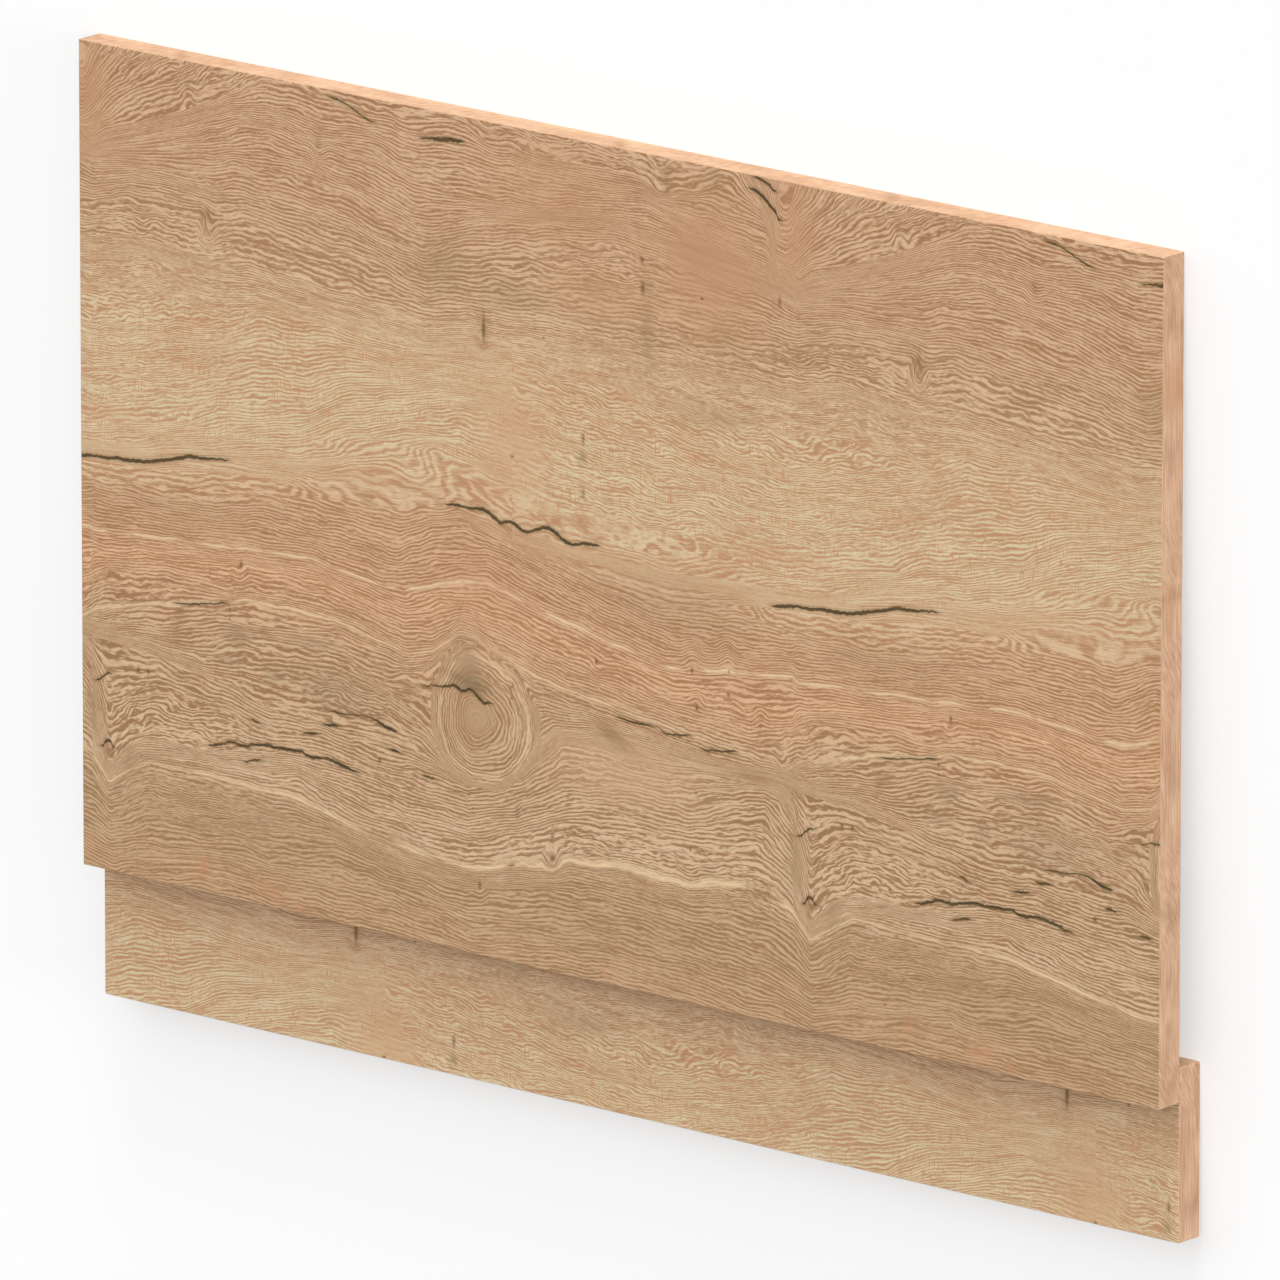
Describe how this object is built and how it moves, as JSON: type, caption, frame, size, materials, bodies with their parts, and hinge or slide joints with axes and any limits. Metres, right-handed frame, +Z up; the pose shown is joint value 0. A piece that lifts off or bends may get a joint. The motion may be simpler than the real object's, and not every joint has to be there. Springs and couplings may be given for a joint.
{
  "type": "bath end panel with plinth",
  "caption": "Oak-decor bath end panel, 780 x 560 mm: an 18 mm faced board with a low plinth board screwed behind its foot, lying face up.",
  "frame": {"origin": "on the floor, under the middle of the whole, as it lies face up", "axes": "+X along the width, +Y from the plinth towards the top edge, +Z up, out of the decorative face apart from the 2.24 degree tilt at which it rests"},
  "size_m": [0.78, 0.561, 0.0367],
  "materials": {
    "oak_decor": "matt printed oak decor with a fine grain, on faces and edges",
    "screw_zinc": "bright zinc plate"
  },
  "bodies": {
    "root": {"panel_board": "oak_decor", "plinth_board": "oak_decor", "plinth_screw_1": "screw_zinc", "plinth_screw_2": "screw_zinc", "plinth_screw_3": "screw_zinc", "plinth_screw_4": "screw_zinc"}
  },
  "joints": []
}
